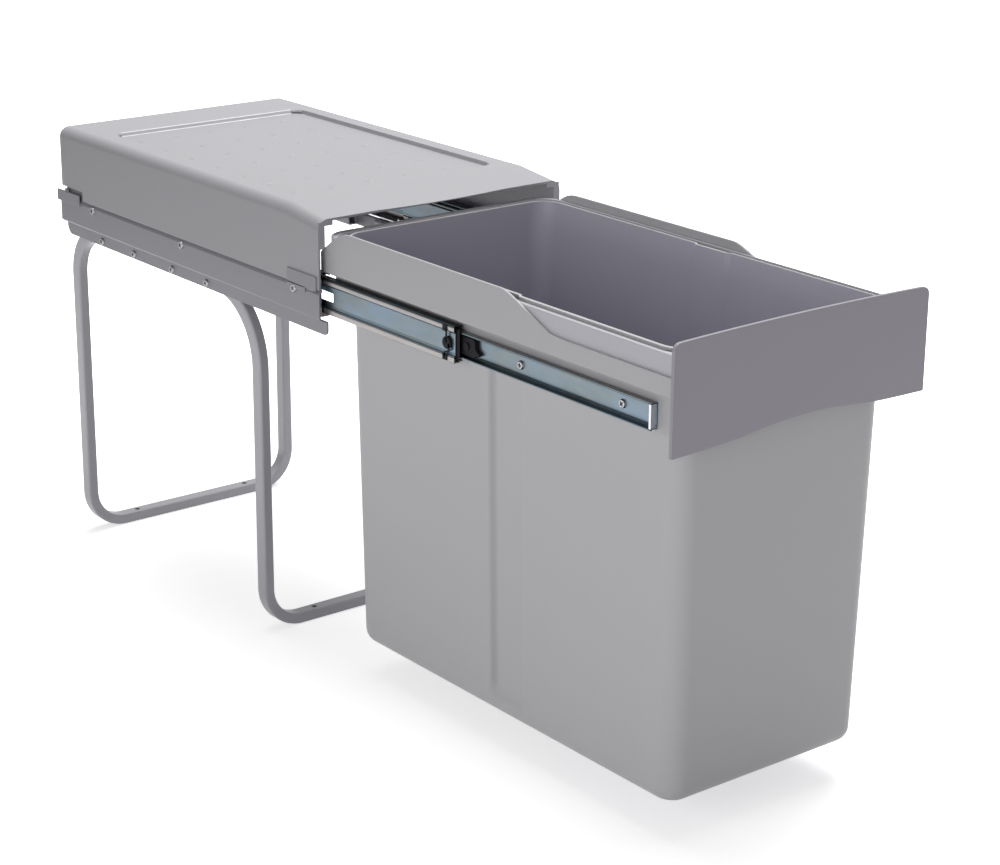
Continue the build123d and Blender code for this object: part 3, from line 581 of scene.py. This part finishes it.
# A lever is one thick outline with a finger hook at its front
lever_middle, lever_wall = -0.1146, 0.0029
lever_outline = [
    (-0.4492, 0.0072), (-0.4650, 0.0072), (-0.4664, 0.0066), (-0.4670, 0.0052),
    (-0.4671, 0.0010), (-0.4684, -0.0012), (-0.4718, -0.0034), (-0.4722, -0.0044),
    (-0.4714, -0.0052), (-0.4690, -0.0054), (-0.4672, -0.0062), (-0.4662, -0.0072),
    (-0.4492, -0.0072),
]
lever = cut_sheet(lever_middle, lever_outline, lever_wall)
seat_pair(lever, "catch", black_finish, "lever", "black_plastic", "release_lever")


# Carrier plates and front panel.
# Bent steel sheet with a satin grey powder coat, a little darker on the panel. The plates are
# screwed to the inner slide members, and carry the ring and the panel.
def slice_at(place, normal):
    """Cut new edges into the mesh in edit mode along a plane."""
    bpy.ops.mesh.select_all(action="SELECT")
    bpy.ops.mesh.bisect(plane_co=place, plane_no=normal)


def sliced(node, places, normal):
    """Rework a sheet node, with whole faces in place of its triangles, cut across in places."""
    sheet = reworked(node)
    bpy.ops.object.mode_set(mode="EDIT")
    bpy.ops.mesh.select_all(action="SELECT")
    bpy.ops.mesh.dissolve_limited(angle_limit=math.radians(0.5))
    for place in places:
        slice_at(place, normal)
    bpy.ops.object.mode_set(mode="OBJECT")
    return sheet


def level_at(line, place):
    """Read the height of a line of points at a place along it."""
    for (first, low), (second, high) in zip(line, line[1:]):
        if min(first, second) <= place <= max(first, second):
            return low + (high - low) * (place - first) / (second - first)
    return line[0][1] if abs(place - line[0][0]) < abs(place - line[-1][0]) else line[-1][1]


plate_grey = (0.392, 0.388, 0.402)
plate_finish = grained("plate_paint", plate_grey, 0.42, 0.0006, 0.00003, 0.0008, 1.5)
plate_foot, plate_height, plate_rear, plate_front = 0.3577, 0.0389, -0.264, -0.703
plate_top, shelf_top = plate_foot + plate_height, 0.364

# The top edge rises at the rear end and falls to the front, by shares of each run
rear_run = 0.044
rear_shares = ((0, 0.45), (0.09, 0.53), (0.37, 0.75), (0.58, 0.9), (0.76, 0.98), (1, 1))
slope_start, slope_run, slope_drop = -0.498, 0.092, 0.0232
slope_shares = (
    (0, 1), (0.06, 1), (0.12, 0.96), (0.2, 0.85), (0.3, 0.69), (0.42, 0.49), (0.56, 0.26),
    (0.66, 0.10), (0.72, 0.04), (0.85, 0.01), (1, 0),
)
rear_line = [
    (plate_rear - rear_run * run, plate_foot + plate_height * rise) for run, rise in rear_shares
]
slope_line = [
    (slope_start - slope_run * run, plate_top - slope_drop * (1 - rise))
    for run, rise in slope_shares
]
plate_line = [
    *smooth_line(rear_line, 3), *smooth_line(slope_line, 3), (plate_front, plate_top - slope_drop)
]
plate_cuts = [(0, along, 0) for along, _ in plate_line]
for side in ("left", "right"):
    plate = sliced(f"{side}_carrier_plate", plate_cuts, (0, 1, 0))
    for corner in plate.data.vertices:
        if corner.co.z > shelf_top:
            corner.co.z = level_at(plate_line, corner.co.y)
    seat(plate, f"{side}_plate", plate_finish, "carrier", "plate_paint", f"{side}_carrier_plate")

# The panel's top edge is slightly arched
panel_grey = (0.272, 0.258, 0.295)
panel_finish = grained("panel_paint", panel_grey, 0.45, 0.0006, 0.00003, 0.0008, 1.35)
panel_half, panel_shoulder, panel_arch = 0.1275, 0.392, 0.002
panel_cuts = [(step * panel_half / 10.5, 0, 0) for step in range(-9, 10)]
panel = sliced("front_panel", panel_cuts, (1, 0, 0))
for corner in panel.data.vertices:
    if corner.co.z > panel_shoulder:
        corner.co.z += panel_arch * (1 - (corner.co.x / panel_half) ** 2)
seat(panel, "panel", panel_finish, "carrier", "panel_paint", "front_panel")


# Support ring and bin.
# Both are moulded in grey polypropylene. The bin is a tapered tub that hangs in the ring by its
# flange and lifts out, and each of its long sides is pressed in by a shallow band.
ring_grey = (0.455, 0.450, 0.485)
ring_finish = grained("ring_plastic", ring_grey, 0.5, 0.0009, 0.00004, 0.001, 1.12)
wear(ring_finish, "support_ring")

bin_grey = (0.450, 0.446, 0.460)
# The inside's colour is painted shade: darker and violet-tinted
inside_shade_grey = (0.415, 0.405, 0.470)


def painted_band_light(place, tone):
    """Paint shade on the far slope and a highlight on the near slope of the pressed band in the
    bin's long sides.
    """
    along, level = coordinate(place, "Y"), coordinate(place, "Z")
    side = ((abs(coordinate(place, "X")) - 0.0975) * 2000).clipped()
    side = side * ((0.365 - level) * 300).clipped() * ((level - 0.05) * 100).clipped()
    far_slope_shade = (1 - abs(along + 0.4725) * 200).clipped() * side * 0.32
    near_slope_highlight = (1 - abs(along + 0.5115) * 800).clipped() * side * 0.3
    shaded = far_slope_shade.blend(tone, (0.22, 0.218, 0.23, 1))
    return near_slope_highlight.blend(shaded, (0.66, 0.655, 0.67, 1))


bin_finish = grained(
    "bin_plastic", bin_grey, 0.48, 0.0010, 0.00005, 0.0012, 1.12, dress=painted_band_light
)
# A darker, violet-tinted copy of the bin's plastic, as painted shade for the inside
inside_shade_finish = grained("bin_inside_shade", inside_shade_grey, 0.42, 0.0009, 0.00004, 0.0012, 1.06)

# The tub's half width, rear, front and level at its rim, waist and foot
rim_half, rim_rear, rim_front, rim_level = 0.1095, -0.2763, -0.6915, 0.390
waist_half, waist_rear, waist_front, waist_level = 0.1055, -0.2768, -0.6910, 0.365
foot_half, foot_rear, foot_front, foot_level = 0.1001, -0.2822, -0.6856, 0.030
bin_middle = (rim_rear + rim_front) / 2
bin_wall, bin_corner, bin_foot_round = 0.0023, 0.020, 0.012
tub = block(
    (0, bin_middle, (foot_level + rim_level) / 2),
    (2 * rim_half, rim_rear - rim_front, rim_level - foot_level),
)
bpy.ops.object.mode_set(mode="EDIT")
pick(tub, "FACE", lambda face: face.normal.z > 0.5)
bpy.ops.mesh.delete(type="FACE")
pick(tub, "EDGE", lambda edge: abs(edge.verts[0].co.z - edge.verts[1].co.z) > 0.1)
bpy.ops.mesh.bevel(offset=bin_corner, segments=10)
slice_at((0, 0, waist_level), (0, 0, 1))
for level, half, rear, front in (
    (waist_level, waist_half, waist_rear, waist_front),
    (foot_level, foot_half, foot_rear, foot_front),
):
    pick(tub, "VERT", lambda corner: abs(corner.co.z - level) < near)
    bpy.ops.transform.resize(
        value=(half / rim_half, (rear - front) / (rim_rear - rim_front), 1),
        center_override=(0, bin_middle, level),
    )
pick(tub, "EDGE", lambda edge: all(corner.co.z < foot_level + near for corner in edge.verts))
bpy.ops.mesh.bevel(offset=bin_foot_round, segments=6)

# Each long side is pressed in by a shallow band: a groove outside and a pilaster inside
band_place, band_half, band_slope, band_depth = -0.4915, 0.0212, 0.0045, 0.0028
band_top, band_foot = rim_level + 0.004, foot_level + 0.016
for reach in (band_half, band_half - band_slope):
    for side in (-1, 1):
        slice_at((0, band_place + side * reach, 0), (0, 1, 0))
for level in (band_top, band_top - band_slope, band_foot, band_foot + band_slope):
    slice_at((0, 0, level), (0, 0, 1))
pick(
    tub, "VERT",
    lambda corner: abs(corner.co.y - band_place) < band_half - band_slope / 2
    and band_foot + band_slope / 2 < corner.co.z < band_top - band_slope / 2,
)
bpy.ops.transform.resize(
    value=(1 - band_depth / waist_half, 1, 1), center_override=(0, band_place, 0.2)
)
bpy.ops.object.mode_set(mode="OBJECT")
apply(tub, "SOLIDIFY", thickness=bin_wall, offset=-1.0, use_even_offset=True)

# The flange that rests on the ring
flange_half, flange_rear, flange_front, flange_level = 0.1145, -0.2726, -0.6952, 0.3862
flange_corner, flange_width, flange_wall = 0.0175, 0.0054, 0.0024
flange_middle = (flange_rear + flange_front) / 2
bpy.ops.object.select_all(action="DESELECT")
bpy.ops.mesh.primitive_plane_add(size=1, location=(0, flange_middle, flange_level))
flange = bpy.context.object
flange.scale = (2 * flange_half, flange_rear - flange_front, 1)
bpy.ops.object.transform_apply(location=True, scale=True)
bpy.ops.object.mode_set(mode="EDIT")
bpy.ops.mesh.select_all(action="SELECT")
bpy.ops.mesh.bevel(offset=flange_corner, segments=8, affect="VERTICES")
pick(flange, "FACE", lambda face: True)
bpy.ops.mesh.inset(thickness=flange_width)
bpy.ops.mesh.delete(type="FACE")
bpy.ops.object.mode_set(mode="OBJECT")
apply(flange, "SOLIDIFY", thickness=flange_wall, offset=0.0)
tub = joined(tub, flange)
seat(tub, "tub", bin_finish, "bin", "bin_plastic", "waste_bin")

# The inside wears a darker, violet-tinted and smoother copy of the bin's plastic, as painted shade
tub.data.materials.append(inside_shade_finish)
inside_shade_inset, inside_shade_drop = 0.0012, 0.0006
for face in tub.data.polygons:
    middle = face.center
    inward = Vector((middle.x, middle.y - bin_middle, 0)).dot(face.normal) < 0
    inside = (
        abs(middle.x) < rim_half - inside_shade_inset
        and rim_front + inside_shade_inset < middle.y < rim_rear - inside_shade_inset
        and middle.z < rim_level - inside_shade_drop
    )
    if inside and (inward or face.normal.z > 0.5):
        face.material_index = 1


# Studio.
# A white floor that runs out of view, a large soft light overhead, a soft fill from the left, a
# black card at the left rear, and the camera at the photograph's viewpoint.
bpy.context.scene.view_settings.view_transform = "Standard"
bpy.ops.object.select_all(action="DESELECT")
bpy.ops.mesh.primitive_plane_add(size=40, location=(0, 0, 0))
floor = bpy.context.object
floor.name = "studio_floor"
floor_material = bpy.data.materials.new("white_floor")
floor_material.use_nodes = True
floor_tree = floor_material.node_tree
floor_tree.nodes.remove(floor_tree.nodes["Principled BSDF"])


def seen_in(tree):
    """Hand back a mask that is 1 for what the camera sees, directly or in metal."""
    start = Shade(tree)
    seen = start.node("LightPath", {}, {}, "Is Camera Ray")
    reflected = start.node("LightPath", {}, {}, "Is Glossy Ray")
    through = start.node("LightPath", {}, {}, "Is Transmission Ray")
    return (seen + reflected + through).clipped()


# The floor keeps the shadow near the object, and glows white further out
glow_middle, glow_start, glow_run, glow_near = (0, -0.3, 0), 0.5, 0.5, 0.58
floor_seen = seen_in(floor_tree)
floor_place = floor_seen.node("TexCoord", {}, {}, "Object")
floor_offset = floor_seen.node(
    "VectorMath", {"operation": "SUBTRACT"}, {0: floor_place, 1: glow_middle}
)
distance = floor_seen.node("VectorMath", {"operation": "LENGTH"}, {0: floor_offset}, "Value")
away = ((distance - glow_start) / glow_run).clipped()
white = floor_seen.node("BsdfDiffuse", {}, {"Color": (0.86, 0.86, 0.87, 1)})
glow = floor_seen.node(
    "Emission", {}, {"Color": (1, 1, 1, 1), "Strength": floor_seen * (away + glow_near)}
)
both = floor_seen.node("AddShader", {}, {0: white, 1: glow})
floor_tree.links.new(both.socket, floor_tree.nodes["Material Output"].inputs["Surface"])
floor.data.materials.append(floor_material)

world = bpy.data.worlds.new("studio")
world.use_nodes = True
sky = world.node_tree.nodes["Background"]
sky.inputs["Color"].default_value = (1, 1, 1, 1)
sky_light = 0.22
(seen_in(world.node_tree) * (1 - sky_light) + sky_light).feed(sky, "Strength")
bpy.context.scene.world = world


def softbox(name, place, target, width, depth, power):
    """Hang a rectangular soft light that faces a point."""
    lamp = bpy.data.lights.new(name, "AREA")
    lamp.shape = "RECTANGLE"
    lamp.size = width
    lamp.size_y = depth
    lamp.energy = power
    holder = bpy.data.objects.new(name, lamp)
    holder.location = place
    holder.rotation_euler = (Vector(target) - Vector(place)).to_track_quat("-Z", "Y").to_euler()
    bpy.context.scene.collection.objects.link(holder)


softbox("overhead", (0.6, 0.15, 2.4), (0, -0.25, 0.25), 2.0, 2.2, 66)
softbox("left_fill", (-1.9, -1.0, 0.8), (0, -0.6, 0.15), 1.6, 1.0, 13)

# The card keeps the far end of the cover's side darker
card_place, card_turn, card_size = (-0.80, 1.05, 0.42), (90, 0, 60), (1.3, 1.0, 1)
bpy.ops.mesh.primitive_plane_add(
    size=1, location=card_place, rotation=[math.radians(angle) for angle in card_turn]
)
card = bpy.context.object
card.scale = card_size
bpy.ops.object.transform_apply(location=True, rotation=True, scale=True)
card.name = "black_card"
card_finish, card_shader, _ = finish("card_black", 0.9)
card_shader.inputs["Base Color"].default_value = (0.01, 0.01, 0.01, 1)
card.data.materials.append(card_finish)
card.visible_camera = False

camera_place, camera_turn = (-1.20904, -1.88397, 0.87688), (71.3195, -0.4073, -38.1423)
camera_data = bpy.data.cameras.new("photo_camera")
camera_data.sensor_width = 36
camera_data.lens = 87.573
camera_data.clip_end = 60
camera = bpy.data.objects.new("photo_camera", camera_data)
camera.location = camera_place
camera.rotation_euler = [math.radians(angle) for angle in camera_turn]
bpy.context.scene.collection.objects.link(camera)
bpy.context.scene.camera = camera
